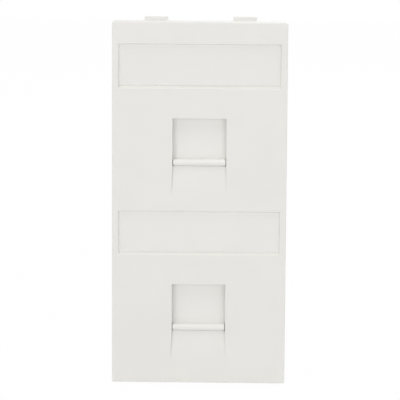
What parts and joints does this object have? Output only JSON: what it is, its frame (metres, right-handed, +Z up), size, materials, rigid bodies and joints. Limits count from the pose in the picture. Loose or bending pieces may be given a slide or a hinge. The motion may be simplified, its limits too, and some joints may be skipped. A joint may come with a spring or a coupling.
{
  "type": "keystone faceplate",
  "caption": "White rectangular wall outlet cover with keystone jack sockets, each behind a sliding sprung dust shutter and under a clear label holder.",
  "frame": {"origin": "middle of the rear rim, on the rear edge of the middle cross rib", "axes": "+X right as seen from the front, +Y to the rear into the wall box, +Z up"},
  "size_m": [0.052, 0.0137, 0.1106],
  "materials": {
    "cover_plastic": "warm white moulded plastic, satin, with a faint mould texture",
    "shutter_plastic": "warm white moulded plastic, satin",
    "carrier_plastic": "white moulded plastic, matt as moulded",
    "spring_steel": "bright drawn wire",
    "clear_cover": "clear moulded plastic, smooth",
    "card_paper": "uncoated white card, matt"
  },
  "bodies": {
    "cover": {"front_cover": "cover_plastic", "upper_shutter_spring": "spring_steel", "upper_keystone_carrier": "carrier_plastic", "upper_label_window": "clear_cover", "upper_label_card": "card_paper", "lower_shutter_spring": "spring_steel", "lower_keystone_carrier": "carrier_plastic", "lower_label_window": "clear_cover", "lower_label_card": "card_paper"},
    "upper_shutter_body": {"upper_shutter": "shutter_plastic"},
    "lower_shutter_body": {"lower_shutter": "shutter_plastic"}
  },
  "joints": [
    {"name": "upper_shutter_slide", "type": "slide", "parent": "cover", "child": "upper_shutter_body", "axis": [0, 0, 1], "range_m": [0, 0.012], "stiffness_N_per_m": 15, "springref_m": -0.008, "deforming": ["upper_shutter_spring"]},
    {"name": "lower_shutter_slide", "type": "slide", "parent": "cover", "child": "lower_shutter_body", "axis": [0, 0, 1], "range_m": [0, 0.012], "stiffness_N_per_m": 15, "springref_m": -0.008, "deforming": ["lower_shutter_spring"]}
  ]
}
